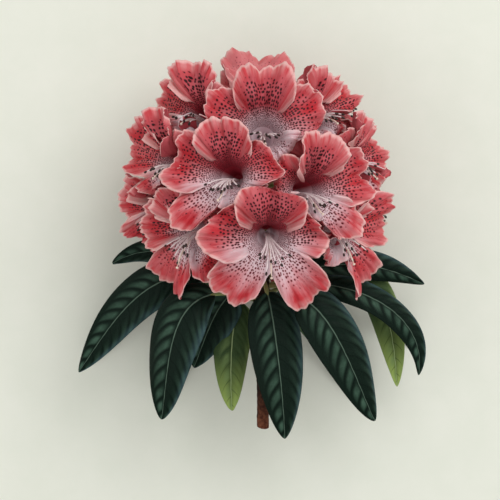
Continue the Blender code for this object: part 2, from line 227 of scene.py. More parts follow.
# Blooms: throat from the truss's centre, length of the lobes, and rank. Where two blooms press
# together, the one of higher rank lies over the other. Lobe 0 is the upper one, 1 and 2 follow on one
# side and -1 and -2 on the other. Trim and wide change single lobes; pale and spotted, the throat.
blooms = {
    "bloom_front_low": {
        "throat": (7, -50, 56), "lobe": 50, "rank": 20, "pale": 0.9, "trim": {0: 1.21}, "wide": {2: -0.3},
    },
    "bloom_front_left": {
        "throat": (-21, -8, 61), "lobe": 46, "rank": 19, "pale": 0.7,
        "trim": {0: 0.85, 1: 1.12, 2: 1.25}, "wide": {0: -0.2, 2: 0.3},
    },
    "bloom_front_right": {
        "throat": (34, -18, 55), "lobe": 47, "rank": 18, "pale": 0.65,
        "trim": {0: 0.8, -1: 1.15, -2: 1.4}, "wide": {-2: 0.3},
    },
    "bloom_front_high": {
        "throat": (3, 22, 54), "lobe": 46, "rank": 17, "pale": 1.0, "trim": {0: 0.9}, "wide": {0: -0.3},
    },
    "bloom_low_left": {"throat": (-46, -44, 38), "lobe": 45, "rank": 15, "trim": {2: 1.5}},
    "bloom_left": {"throat": (-60, 2, 36), "lobe": 43, "rank": 14, "trim": {0: 0.8, -1: 0.9}},
    "bloom_high_left": {"throat": (-42, 34, 32), "lobe": 42, "rank": 12, "trim": {0: 0.66, -1: 0.9}},
    "bloom_high_right": {"throat": (40, 35, 30), "lobe": 40, "rank": 11, "trim": {0: 0.6, 1: 0.85}},
    "bloom_top": {
        "throat": (-1, 46, 26), "lobe": 42, "rank": 9, "spotted": 0.35, "hood": 0.2,
        "trim": {1: 0.9, 2: 0.9, -2: 0.9, -1: 0.9}, "wide": {0: 0.45, 1: 0.1, -1: 0.1, 2: 0.35, -2: 0.35},
    },
    "bloom_right": {"throat": (66, 3, 24), "lobe": 40, "rank": 12, "trim": {0: 0.66, 1: 0.75, 2: 0.85}},
    "bloom_low_right": {"throat": (54, -44, 34), "lobe": 42, "rank": 13},
    "bloom_far_left": {
        "throat": (-67, -28, 6), "lobe": 40, "rank": 8, "facing": (-0.66, -0.4, 0.64),
        "trim": {0: 0.9, -1: 0.75},
    },
    "bloom_far_right": {"throat": (73, -21, -10), "lobe": 39, "rank": 7, "trim": {1: 0.9, 2: 0.86}},
    "bloom_back_low": {"throat": (2, -40, -62), "lobe": 43, "rank": 8},
    "bloom_back_left": {"throat": (-50, -4, -50), "lobe": 44, "rank": 6},
    "bloom_back_right": {"throat": (46, 2, -56), "lobe": 44, "rank": 5},
    "bloom_back_high": {"throat": (-4, 36, -60), "lobe": 44, "rank": 4},
    "bloom_back_high_left": {"throat": (-53, 36, -16), "lobe": 42, "rank": 3},
    "bloom_back_high_right": {"throat": (46, 42, -18), "lobe": 42, "rank": 2},
}

# How the blooms sit on the axis: where a stalk leaves it for a bloom's height, and how far the front
# blooms turn to the viewer and all of them down.
truss = {
    "rootShare": 0.45,
    "rootDrop": 16.0,
    "rootSpan": (-40.0, 6.0),
    "forward": 12.0,
    "frontFrom": -10.0,
    "droop": 5.0,
    "neighbours": 120.0,
}

# The corolla's build: its tube, how the lobes part, overlap and ruffle, and the room it keeps.
corolla = {
    "tubeDepth": 28.0,
    "limbDepth": 11.0,
    "lobes": 5,
    "columns": 56,
    "rows": 34,
    "thickness": 0.45,
    "foot": 4.0,  # the tube's foot is flat to this length, and then runs out at the tube's angle
    "tubeAngle": 10.0,
    "flares": ((8.0, 24.0, 12.0), (22.0, 44.0, 66.0), (50.0, 74.0, 30.0)),  # from, to, degrees
    "limbEnd": 95.0,
    "clear": 0.4,  # room kept to a neighbour
    "overshoot": 11.0,  # how far into a neighbour's room a lobe may be pressed before it is shortened
    "pressSlope": 1.1,  # how steeply one bloom rides up over the next
    "pressStart": 6.0,
    "pressSoft": 5.0,
    "pressRounds": (2.5, 0.0, 0.0),
    "floorGap": 1.2,
    "rounded": (0.34, 2.8),  # how much shorter a lobe is at its sides, and how late it rounds off
    "upperLonger": 0.1,
    "part": 0.56,  # share of the length at which the lobes part
    "partOver": 0.3,
    "outline": 0.18,
    "widen": {0: 0.62, 1: 0.26, -1: 0.26, 2: 0.18, -2: 0.18},
    "short": {0: 0.84, 1: 1.0, -1: 1.0, 2: 1.0, -2: 1.0},
    # how deep each side of a lobe is cut in, and how far it lies over its neighbour
    "incision": {0: (0.08, 0.08), 1: (0.1, 0.18), -1: (0.18, 0.1), 2: (0.2, 0.5), -2: (0.5, 0.2)},
    "over": {0: (1.8, 1.8), 1: (-1.2, 1.5), -1: (1.5, -1.2), 2: (-1.2, -0.6), -2: (0.8, -1.2)},
    "waves": ((9, 2.8), (23, 1.5), (57, 0.9)),  # how many in a turn, and how high
    "scallops": 29,
    "scallop": 0.014,
    "notch": 0.13,
    "notchWidth": 0.006,
    "notches": (0.0, 0.4, 0.8, 1.0),
    "lean": 0.06,
    "widenBy": 0.12,
    "tip": 4.0,
    "twist": 5.0,
    "dish": 3.0,  # the limb's hollow, and its sway from side to side
    "sway": 2.0,
    "hood": 8.0,
    "hoodRise": (33.0, 56.0),
    "hoodRoll": (60.0, 80.0),
    "rollBack": 1.3,
    "hump": 3.5,  # the upper lobe's two humps, and the folds at their feet
    "humpRise": (34.0, 48.0),
    "fold": 5.0,
    "foldAside": 0.24,
    "foldAt": 38.0,
}

for name, bloom in blooms.items():
    bloom["throat"] = trussCentre + np.array(bloom["throat"], float)
    height = truss["rootShare"] * (bloom["throat"][1] - trussCentre[1]) - truss["rootDrop"]
    bloom["root"] = trussCentre + np.array((0.0, np.clip(height, *truss["rootSpan"]), 0.0))
    forward = truss["forward"] if bloom["throat"][2] - trussCentre[2] > truss["frontFrom"] else 0.0
    facing = bloom["throat"] - bloom["root"] + np.array((0.0, -truss["droop"], forward))
    bloom["facing"] = unit(bloom.get("facing", facing))
    level = abs(bloom["facing"][1]) <= 0.8
    up = np.array((0.0, 1.0, 0.0)) if level else np.array((0.0, 0.0, -1.0))
    bloom["up"] = unit(up - bloom["facing"] * up.dot(bloom["facing"]))
    bloom["side"] = np.cross(bloom["up"], bloom["facing"])
    bloom["mouth"] = bloom["throat"] + bloom["facing"] * corolla["limbDepth"]
    bloom["base"] = bloom["throat"] - bloom["facing"] * corolla["tubeDepth"]
    bloom["room"] = np.ones(corolla["lobes"])
for bloom in blooms.values():
    bloom["near"] = [
        other for other in blooms.values()
        if 0.0 < np.linalg.norm(other["mouth"] - bloom["mouth"]) < truss["neighbours"]
    ]


# Length of the limb at each turn round the mouth; turn 0 is the middle of the upper lobe.
def limbLength(bloom, turn, lobe):
    loss, power = corolla["rounded"]
    rounded = 1.0 - loss * np.abs(2.0 * lobe) ** power
    upper = 0.5 + 0.5 * np.cos(tau * turn)
    count = corolla["lobes"]
    number = np.arange(-3, 4)
    places = np.stack((number - 0.32, number + 0.32), axis=1).ravel() / count
    room = np.interp(turn, places, np.repeat(bloom["room"][number % count], 2))
    return bloom["lobe"] * (0.94 + corolla["upperLonger"] * upper) * rounded * room


# The corolla's section: how far along the axis, how far from it, and its slope, for a length run.
def corollaSection(run):
    steps = np.linspace(0.0, corolla["limbEnd"], 381)
    flares = [degrees * smoothStep(low, high, steps) for low, high, degrees in corolla["flares"]]
    angle = np.radians(corolla["tubeAngle"] + sum(flares))
    angle[steps < corolla["foot"]] = math.pi / 2
    width = np.concatenate(([0.0], np.cumsum(np.sin(angle[:-1]) * np.diff(steps))))
    height = np.concatenate(([0.0], np.cumsum(np.cos(angle[:-1]) * np.diff(steps))))
    return np.interp(run, steps, height), np.interp(run, steps, width), np.interp(run, steps, angle)


# How far points lie inside the room a bloom keeps from one neighbour, and the way to its wall.
def wallBetween(points, bloom, other):
    away = other["mouth"] - bloom["mouth"]
    middle = bloom["mouth"] + away * bloom["lobe"] / (bloom["lobe"] + other["lobe"])
    away = unit(away)
    out = unit(middle - trussCentre)
    over = 1.0 if bloom["rank"] > other["rank"] else -1.0
    rise = (points - middle) @ out + corolla["pressStart"]
    reach = corolla["pressSlope"] * softPositive(rise, corolla["pressSoft"])
    slope = corolla["pressSlope"] / (1.0 + np.exp(-rise / corolla["pressSoft"]))
    normal = away[None, :] - over * slope[:, None] * out[None, :]
    size = np.linalg.norm(normal, axis=1)
    inside = -((points - middle) @ away - over * reach) / size - corolla["clear"]
    return inside, normal / size[:, None]


# Lifts what would sink into the floor and lowers what would stand too high, softly.
def keepWithin(points, clearance, softness):
    low = floorHeight + clearance
    top = floorHeight + shoot["height"] - clearance
    points[:, 2] = low + softPositive(points[:, 2] - low, softness)
    points[:, 2] = top - softPositive(top - points[:, 2], 2.0 * softness)
    return points


def keepOwnRoom(points, bloom, clearance):
    for other in bloom["near"]:
        for soft in corolla["pressRounds"]:
            inside, normal = wallBetween(points, bloom, other)
            wanted = softPositive(inside, soft) if soft else np.maximum(inside, 0.0)
            points = points - (wanted - inside)[:, None] * normal
    return keepWithin(points, clearance, 1.5)


def placeCorolla(bloom, turn, run, lift):
    height, width, angle = corollaSection(run)
    ray = np.cos(tau * turn)[:, None] * bloom["up"] + np.sin(tau * turn)[:, None] * bloom["side"]
    height = height - corolla["tubeDepth"] + lift * np.sin(angle)
    width = width - lift * np.cos(angle)
    return bloom["throat"] + width[:, None] * ray + height[:, None] * bloom["facing"]


# The upper lobe stands forward like a hood, and its tip rolls back.
def hoodLift(bloom, number, run):
    if number != 0:
        return np.zeros(len(run))
    rolled = smoothStep(*corolla["hoodRise"], run)
    rolled = rolled - corolla["rollBack"] * smoothStep(*corolla["hoodRoll"], run)
    return bloom.get("hood", 1.0) * corolla["hood"] * rolled


# Shortens each lobe to the room that its neighbours and the floor leave it.
def findRoom(bloom):
    room = np.ones(corolla["lobes"])
    shares = np.linspace(0.3, 1.0, 36)
    for lobe in range(-2, 3):
        for aside in (-0.25, 0.0, 0.25):
            turn = np.full(len(shares), (lobe + aside) / corolla["lobes"])
            run = corolla["tubeDepth"] + limbLength(bloom, turn, np.full(len(shares), aside)) * shares
            points = placeCorolla(bloom, turn, run, hoodLift(bloom, lobe, run))
            inside = points[:, 2] - corolla["floorGap"]
            for other in bloom["near"]:
                inside = np.minimum(inside, wallBetween(points, bloom, other)[0])
            crossed = np.nonzero(inside < -corolla["overshoot"])[0]
            if len(crossed):
                room[lobe] = min(room[lobe], shares[crossed[0]])
    for lobe, share in bloom.get("trim", {}).items():
        room[lobe] *= share
    bloom["room"] = room


for bloom in blooms.values():
    findRoom(bloom)


# For a place on one lobe's grid: its place across the lobe, the turn round the mouth, the length run
# from the foot, and how far the lobes have parted there.
def lobePlace(bloom, number, across, along):
    parted = smoothStep(corolla["part"], corolla["part"] + corolla["partOver"], along)
    shape = bloom["lobes"][number]
    lobe = (across - 0.5) * (1.0 + corolla["outline"] * parted)
    turn = (number + (across - 0.5) * (1.0 + shape["widen"] * parted)) / corolla["lobes"]
    limb = limbLength(bloom, (number + lobe) / corolla["lobes"], lobe)
    middle = np.where(np.abs(lobe) < 0.5, np.cos(math.pi * lobe) ** 2, 0.0)
    limb = limb * (1.0 + shape["long"] * middle) * (1.0 + parted * (corolla["short"][number] - 1.0))
    incision = np.where(lobe < 0.0, *corolla["incision"][number])
    limb = limb * (1.0 - parted * incision * smoothStep(0.2, 0.56, np.abs(lobe)))
    notch = shape["notch"] * np.exp(-((lobe - shape["lean"]) ** 2) / corolla["notchWidth"])
    limb = limb * (1.0 - parted * notch)
    scallops = np.sin(corolla["scallops"] * (tau * turn) + shape["phases"][1])
    limb = limb * (1.0 + corolla["scallop"] * parted * scallops)
    run = along * (corolla["tubeDepth"] + limb)
    return lobe, turn, run, parted


# The shape of one lobe, drawn by chance round the corolla's own measures.
def drawLobe(bloom, number):
    phases = [chance.uniform(0.0, tau) for _ in range(4)]
    upperNotch = 0.6 * bloom.get("hood", 1.0)
    notch = (upperNotch if number == 0 else chance.choice(corolla["notches"])) * corolla["notch"]
    lean, widenBy, tip, twist = (corolla[key] for key in ("lean", "widenBy", "tip", "twist"))
    return {
        "phases": phases,
        "notch": notch,
        "lean": chance.uniform(-lean, lean),
        "long": chance.uniform(0.0, 0.08) if number == 0 else chance.uniform(-0.10, 0.05),
        "widen": corolla["widen"][number] + chance.uniform(-widenBy, widenBy)
        + bloom.get("wide", {}).get(number, 0.0),
        "tip": chance.uniform(-tip, tip),
        "twist": chance.uniform(-twist, twist),
    }


def makeCorolla(name, bloom, materials):
    bloom["lobes"] = {number: drawLobe(bloom, number) for number in range(-2, 3)}
    bm = newGrid()
    sway = chance.uniform(0.0, tau)
    for number in range(-2, 3):
        shape = bloom["lobes"][number]

        def place(across, along):
            lobe, turn, run, parted = lobePlace(bloom, number, across, along)
            wave = tau * turn
            lift = -corolla["dish"] * np.cos(tau * lobe) * along**3
            lift = lift - corolla["sway"] * np.sin(2.0 * wave + sway) * along**2
            lift = lift + parted * (shape["tip"] + 2.0 * shape["twist"] * lobe)
            lift = lift + hoodLift(bloom, number, run)
            if number == 0:  # two humps, whose feet stand over the throat
                hump = 0.5 - 0.5 * np.cos(2.0 * tau * lobe)
                aside, down = np.abs(lobe) - corolla["foldAside"], run - corolla["foldAt"]
                foot = np.exp(-(aside**2) / 0.02 - (down**2) / 60.0)
                hump = corolla["hump"] * hump * smoothStep(*corolla["humpRise"], run)
                lift = lift + bloom.get("hood", 1.0) * (corolla["fold"] * foot + hump)
            points = keepOwnRoom(placeCorolla(bloom, turn, run, lift), bloom, corolla["thickness"])
            ruffle = sum(
                size * np.sin(count * wave + phase)
                for (count, size), phase in zip(corolla["waves"], shape["phases"])
            )
            over = np.where(lobe < 0.0, *corolla["over"][number]) * smoothStep(0.25, 0.6, np.abs(lobe))
            angle = corollaSection(run)[2]
            ray = np.cos(wave)[:, None] * bloom["up"] + np.sin(wave)[:, None] * bloom["side"]
            lift = parted**1.5 * ruffle + parted * over
            points = points + (lift * np.sin(angle))[:, None] * bloom["facing"]
            return keepWithin(points - (lift * np.cos(angle))[:, None] * ray, corolla["thickness"], 0.8)

        addPatch(bm, corolla["columns"], corolla["rows"], place, number)
    piece = finishPiece(name.replace("bloom", "corolla"), bm, materials, [name], weld=0.004)

    # Turn round the mouth, length run from the foot, and how far the margin is.
    def maps(patches, across, along):
        turn, run, edge, part = np.zeros((4, len(across)))
        for number in range(-2, 3):
            own = patches == number
            part[own], turn[own], run[own], parted = lobePlace(bloom, number, across[own], along[own])
            full = lobePlace(bloom, number, across[own], np.ones(own.sum()))[2]
            width = corollaSection(run[own])[1] * tau / corolla["lobes"]
            beside = (0.5 - np.abs(across[own] - 0.5)) * width / np.maximum(parted, 0.02)
            edge[own] = np.minimum(full - run[own], np.where(parted > 0.02, beside, 60.0))
        return {"petalMap": (turn, run / mapSpan), "marginMap": (edge / mapSpan, part)}

    writeMaps(piece.data, maps)
    given = {
        "bloomSeed": chance.random(),
        "paleThroat": bloom.get("pale", 0.15),
        "spotShare": bloom.get("spotted", 1.0),
    }
    for label, value in given.items():
        layer = piece.data.attributes.new(label, "FLOAT", "POINT")
        layer.data.foreach_set("value", [value] * len(piece.data.vertices))
    outward = sum((p.normal * p.area for p in piece.data.polygons if p.material_index == 0), Vector())
    if outward.dot(Vector(bloom["facing"])) < 0.0:
        piece.data.flip_normals()
    addThickness(piece, corolla["thickness"])


# Stamens: pale filaments that fan out below the throat's middle, with dark anthers, and a style.
stamens = {
    "count": 9,
    "points": 13,
    "radius": 0.55,
    "anther": (0.8, 1.45),
    "fan": 0.34,
    "reach": (10.0, 20.0),
    "stand": (11.0, 15.0),
}


def makeStamens(name, bloom, materials):
    bm = newGrid()
    count = stamens["count"]
    reached = min(max(0.6 * (bloom["room"][2] + bloom["room"][-2]), 0.55), 1.0)
    for index in range(count + 1):
        pistil = index == count
        share = 0.5 if pistil else (index + chance.uniform(0.2, 0.8)) / count
        turn = math.pi * (1.0 + stamens["fan"] * 2.0 * (share - 0.5))
        ray = math.cos(turn) * bloom["up"] + math.sin(turn) * bloom["side"]
        reach = stamens["reach"][1] + 2.0 if pistil else chance.uniform(*stamens["reach"])
        stand = stamens["stand"][1] + 1.0 if pistil else chance.uniform(*stamens["stand"])
        tip = bloom["throat"] + reached * (bloom["facing"] * stand + ray * reach)
        line = bezier(
            bloom["base"] + ray * 1.2 + bloom["facing"] * 0.5,
            bloom["throat"] - bloom["facing"] * 6.0 + ray * 1.0,
            bloom["throat"] + reached * (bloom["facing"] * stand * 0.55 + ray * reach * 0.35),
            tip,
            np.linspace(0.0, 1.0, stamens["points"]),
        )
        line = keepOwnRoom(line, bloom, 1.2)
        radii = np.linspace(1.15, 0.75, stamens["points"]) * stamens["radius"] * (1.3 if pistil else 1.0)
        radii[[0, -1]] = 0.02
        addRod(bm, line, radii, 6, 2 if pistil else 0)
        way = Vector(line[-1] - line[-2])
        turned = way.to_track_quat("Z", "Y").to_matrix().to_4x4()
        wide, long = (1.0, 0.8) if pistil else stamens["anther"]
        aside = Matrix.Rotation(0.0 if pistil else chance.uniform(0.6, 1.3), 4, "X")
        placed = Matrix.Translation(line[-1]) @ turned @ aside @ Matrix.Diagonal((wide, wide, long, 1.0))
        made = bmesh.ops.create_uvsphere(bm, u_segments=8, v_segments=6, radius=1.0, matrix=placed)
        for face in {face for vert in made["verts"] for face in vert.link_faces}:
            face.material_index = 2 if pistil else 1
            face.smooth = True
    finishPiece(name.replace("bloom", "stamens"), bm, materials, [name], weld=0.0001)


# The stalk of a bloom, with the small cup that holds the corolla's foot.
pedicel = {"radius": 1.35, "cup": 2.9, "sides": 12, "points": 17, "sink": 0.6, "out": 8.5, "bend": 8.0}


def makePedicel(name, bloom, materials):
    outward = unit((bloom["base"] - bloom["root"]) * np.array((1.0, 0.0, 1.0)) + np.array((1e-6, 0.0, 0.0)))
    start = bloom["root"] + outward * (shoot["axisRadius"] - pedicel["sink"])
    bend = bloom["base"] - bloom["facing"] * pedicel["bend"]
    end = bloom["base"] + bloom["facing"] * pedicel["sink"]
    out = start + outward * pedicel["out"]
    line = bezier(start, out, bend, end, np.linspace(0.0, 1.0, pedicel["points"]))
    radii = np.full(pedicel["points"], pedicel["radius"])
    radii[:3] *= (0.05, 1.25, 1.12)
    radii[-4:] = (pedicel["radius"] * 1.05, pedicel["radius"] * 1.5, pedicel["cup"], 0.05)
    bm = newGrid()
    addRod(bm, line, radii, pedicel["sides"])
    finishPiece(name.replace("bloom", "pedicel"), bm, materials, [name], weld=0.0001)


# Leaves: the angle round the stem where each starts, how far below its top, the tip, the way it
# runs there, how far it first reaches out and rises, the way its upper side faces, and its width.
leaves = {
    "leaf_front_left": (145, 16, (-61.5, -118, 84), (-0.16, -0.98, -0.12), 72, 26, (-0.3, 0, 1), 34),
    "leaf_front_centre": (80, 4, (21, -131, 82), (0.04, -0.98, -0.2), 30, -2, (0.1, 0, 1), 34),
    "leaf_front_right": (52, 17, (81, -119, 84), (0.42, -0.9, -0.15), 60, 26, (0.3, 0, 1), 33),
    "leaf_left": (176, 8, (-117.5, -87, 62), (-0.56, -0.82, -0.1), 66, 26, (-0.25, 0, 1), 29),
    "leaf_inner_left": (160, 11, (-40, -84, 62), (-0.36, -0.92, -0.1), 23, 5, (-0.1, 0, 1), 29),
    "leaf_young_left": (186, 18, (-14.5, -113, 61), (0.06, -0.99, -0.05), 15, 3, (0.1, 0, 1), 24),
    "leaf_young_right": (334, 14, (97, -97, 52), (0.07, -0.99, -0.05), 88, 36, (0.25, 0, 1), 22),
    "leaf_curled_right": (6, 9, (111, -89, 64), (-0.16, -0.96, 0.0), 52, 9, (0.25, 0.3, 1), 19),
    "leaf_far_left": (188, 3, (-95, -14, 56), (-0.85, -0.5, -0.1), 46, 9, (-0.2, -0.3, 1), 19),
    "leaf_far_right": (346, 3, (115, -28, 52), (0.88, -0.42, -0.1), 50, 8, (0.2, -0.3, 1), 21),
    "leaf_back_far_left": (208, 17, (-112, -81, 3), (-0.5, -0.82, -0.3), 60, 26, (-0.4, 0, -1), 25),
    "leaf_back_left": (242, 8, (-61, -106, 2), (-0.25, -0.9, -0.3), 48, 8, (-0.2, 0, -1), 26),
    "leaf_back_right": (290, 13, (76, -108, 2), (0.4, -0.85, -0.3), 48, 10, (0.2, 0, -1), 28),
    "leaf_back_far_right": (322, 22, (107, -71, 3), (0.45, -0.85, -0.3), 60, 26, (0.4, 0, -1), 20),
}

# A blade's build: how its veins run, how deep they sink, and how its margin waves.
blade = {
    "columns": 30,
    "rows": 130,
    "thickness": 0.5,
    "neck": 4.0 / 24.0,
    "collar": 2.5,
    "veinSpacing": 10.0,
    "veinSlope": 0.7,
    "veinCurve": 0.9,
    "quilt": 0.5,
    "quiltWidth": 1.7,
    "groove": 0.6,
    "grooveWidth": 1.1,
    "wave": 1.2,
    "waves": 11.0,
    "fullness": (0.74, 0.72),
    "keel": 0.2,
    "droop": 0.42,
    "samples": 240,
    "petiole": 1.55,
    "petioleSides": 12,
    "petioleEnd": 0.86,
    "swell": 1.35,
}


def makeLeaf(name, materials):
    turn, below, tip, tipWay, reach, rise, facing, width = leaves[name]
    alongStem = unit(stemTop - stemCut)
    centre = stemTop - alongStem * below
    turn = math.radians(turn)
    outward = np.array((math.cos(turn), 0.0, math.sin(turn)))
    outward = unit(outward - alongStem * outward.dot(alongStem))
    start = centre + outward * (shoot["stemRadius"] * blade["swell"] - 0.5)
    tip = np.array(tip, float)
    collarEnd = start + outward * (0.8 + blade["collar"])
    first = start + outward * (reach + 0.8) + alongStem * rise
    second = tip - unit(tipWay) * 0.38 * np.linalg.norm(tip - start)
    phase = chance.uniform(0.0, tau)
    fine = bezier(collarEnd, first, second, tip, np.linspace(blade["neck"], 1.0, blade["samples"] + 1))
    tangents = np.gradient(fine, axis=0)
    tangents /= np.linalg.norm(tangents, axis=1)[:, None]
    length = np.linalg.norm(np.diff(fine, axis=0), axis=1).sum()

    # Sideways and lengthwise place on the blade in millimetres.
    def bladePlace(across, along):
        lowFull, roundness = blade["fullness"]
        full = along**lowFull
        half = 0.5 * width * np.clip(4.0 * full * (1.0 - full), 0.0, 1.0) ** roundness
        half = half + 0.25 + 0.5 * (1.0 - along)
        offset = 2.0 * across - 1.0
        return offset, half, half * offset, along * length

    def place(across, along):
        offset, half, x, y = bladePlace(across, along)
        index = along * blade["samples"]
        low = np.minimum(index.astype(int), blade["samples"] - 1)
        share = (index - low)[:, None]
        middle = fine[low] * (1.0 - share) + fine[low + 1] * share
        tangent = tangents[low] * (1.0 - share) + tangents[low + 1] * share
        side = np.cross(tangent, unit(facing))
        side /= np.linalg.norm(side, axis=1)[:, None]
        normal = np.cross(side, tangent)
        spacing = blade["veinSpacing"]
        row = (y - (blade["veinSlope"] + blade["veinCurve"] * offset**2) * np.abs(x)) / spacing
        nearest = np.rint(row)
        gap = np.abs(row - nearest + np.where(x < 0.0, 0.5, 0.0) * np.sign(nearest - row)) * spacing
        fade = (1.0 - np.abs(offset) ** 4) * smoothStep(0.0, 0.1, along)
        fade = fade * (1.0 - smoothStep(0.85, 1.0, along))
        lift = half * (blade["keel"] * np.abs(offset) - blade["droop"] * offset**2)
        lift = lift + fade * blade["quilt"] * (1.0 - np.exp(-((gap / blade["quiltWidth"]) ** 2)))
        groove = blade["groove"] * np.exp(-((x / blade["grooveWidth"]) ** 2))
        lift = lift - groove * smoothStep(0.0, 0.05, 1.0 - along)
        wave = np.sin(along * blade["waves"] + phase + np.where(x < 0.0, 2.0, 0.0))
        lift = lift + blade["wave"] * offset**2 * wave
        points = middle + side * x[:, None] + normal * lift[:, None]
        return keepWithin(points, blade["thickness"], 1.5)

    bm = newGrid()
    addPatch(bm, blade["columns"], blade["rows"], place)
    piece = finishPiece(name.replace("leaf", "blade"), bm, materials[:2], [name], upward=facing)

    def maps(patches, across, along):
        x, y = bladePlace(across, along)[2:]
        return {"leafMap": (x / mapSpan, y / mapSpan), "bladeMap": (across, along)}

    writeMaps(piece.data, maps)
    addThickness(piece, blade["thickness"])

    # The petiole runs on under the blade as its rib, thinner and thinner.
    shares = np.linspace(0.0, blade["petioleEnd"], 40)
    stalk = bezier(collarEnd, first, second, tip, shares)
    side = np.cross(np.gradient(stalk, axis=0), unit(facing))
    side /= np.linalg.norm(side, axis=1)[:, None]
    under = np.cross(np.gradient(stalk, axis=0), side)
    under /= np.linalg.norm(under, axis=1)[:, None]
    places, sizes = (0.0, 0.17, 0.3, blade["petioleEnd"]), (1.0, 0.95, 0.75, 0.25)
    radii = np.interp(shares, places, sizes) * blade["petiole"]
    sink = (radii + blade["groove"]) * smoothStep(0.1, 0.24, shares)
    stalk = stalk + under * sink[:, None]
    stalk = keepWithin(stalk, blade["petiole"], 0.3)
    stalk = np.vstack((start, start + outward * 0.4, start + outward * 1.6, stalk))
    radii = np.concatenate(((0.05, 1.35 * blade["petiole"], 1.15 * blade["petiole"]), radii))
    radii[-1] = 0.05
    bm = newGrid()
    addRod(bm, stalk, radii, blade["petioleSides"])
    finishPiece(name.replace("leaf", "petiole"), bm, materials[2:], [name], weld=0.0001)


# The woody stem: lengthwise cracks, scars of fallen leaves, and the slanted cut.
stem = {
    "sides": 72,
    "rows": 200,
    "cutSlant": 14.0,
    "cutShare": 0.02,
    "ridge": 0.06,
    "swelling": 0.02,
    "roughness": 0.015,
    "scars": 7,
    "scarHeight": 0.1,
    "scarSize": (0.12, 0.012),
    "pith": (0.7, -0.25),
}


def makeStem(materials):
    shares = np.linspace(0.0, 1.0, stem["rows"] + 1)
    line = stemCut + (stemTop - stemCut) * shares[:, None]
    places = (0.0, 0.06, 0.3, 0.6, 0.7, 0.76, 0.98, 1.0)
    sizes = (1.0, 0.98, 0.92, 0.92, 1.0, 1.35, 1.35, 1.2)
    radii = np.interp(shares, places, sizes) * shoot["stemRadius"]
    radii[-1] = 0.05
    radii[-2] *= 0.8
    scars = [(chance.random(), 0.08 + 0.55 * index / stem["scars"]) for index in range(stem["scars"])]

    def relief(across, share):
        turn = across * tau
        bend = 1.3 * np.sin(share * 31.0 + 1.0) + 0.8 * np.sin(share * 67.0)
        cracks = np.abs(np.sin(4.5 * turn + bend) * np.sin(7.0 * turn - 0.7 * bend + 23.0 * share))
        size = 1.0 + stem["ridge"] * (0.5 - np.exp(-cracks * 6.0))
        size += stem["swelling"] * np.sin(3.0 * turn + share * 19.0)
        size += stem["roughness"] * np.sin(11.0 * turn + share * 140.0)
        wide, high = stem["scarSize"]
        for at, height in scars:
            around = (across - at + 0.5) % 1.0 - 0.5
            size += stem["scarHeight"] * np.exp(-((around / wide) ** 2) - ((share - height) / high) ** 2)
        return size

    bm = newGrid()
    addRod(bm, line, radii, stem["sides"], 0, relief)
    bmesh.ops.remove_doubles(bm, verts=bm.verts, dist=0.0001)
    slanted = Vector(unit(stemTop - stemCut))
    slant = math.radians(stem["cutSlant"])
    slanted.rotate(Matrix.Rotation(slant, 3, "Y") @ Matrix.Rotation(slant, 3, "X"))
    cut = bmesh.ops.bisect_plane(
        bm,
        geom=list(bm.verts) + list(bm.edges) + list(bm.faces),
        plane_co=Vector(stemCut + (stemTop - stemCut) * stem["cutShare"]),
        plane_no=-slanted,
        clear_outer=True,
    )
    rim = [part for part in cut["geom_cut"] if isinstance(part, bmesh.types.BMEdge)]
    filled = bmesh.ops.contextual_create(bm, geom=rim, mat_nr=1)
    inset, depth = stem["pith"]
    inner = bmesh.ops.inset_individual(bm, faces=filled["faces"], thickness=inset, depth=depth)
    for face in inner["faces"]:
        face.material_index = 0
    finishPiece("bark_stem", bm, materials, ["stem"], weld=0.0001)


# The truss's own green axis, with the rings that fallen bud scales leave on it.
axis = {"sides": 28, "rows": 90, "foot": -40.0, "top": 11.0, "softened": 20, "ring": 0.05, "ribs": 0.03}


def makeAxis(materials):
    along = unit(stemTop - stemCut)
    start = stemTop - along * 1.0
    foot = trussCentre + np.array((0.0, axis["foot"], 0.0))
    top = trussCentre + np.array((0.0, axis["top"], 0.0))
    corners = np.array([start, start + along * 6.0, foot, foot * 0.5 + top * 0.5, top])
    lengths = np.concatenate(([0.0], np.cumsum(np.linalg.norm(np.diff(corners, axis=0), axis=1))))
    shares = np.linspace(0.0, 1.0, axis["rows"] + 1)
    line = np.stack([np.interp(shares * lengths[-1], lengths, corners[:, k]) for k in range(3)], axis=1)
    for _ in range(axis["softened"]):
        line[1:-1] = 0.25 * line[:-2] + 0.5 * line[1:-1] + 0.25 * line[2:]
    radii = np.interp(shares, (0.0, 0.2, 0.8, 1.0), (1.22, 1.05, 1.0, 0.8)) * shoot["axisRadius"]
    radii[[0, -1]] = 0.05

    def relief(across, share):
        rings = axis["ring"] * np.sin(share * 260.0) * (share < 0.25)
        return 1.0 + rings + axis["ribs"] * np.sin(5.0 * tau * across + share * 9.0)

    bm = newGrid()
    addRod(bm, line, radii, axis["sides"], 0, relief)
    finishPiece("stalk_axis", bm, materials, ["truss_axis"], weld=0.0001)


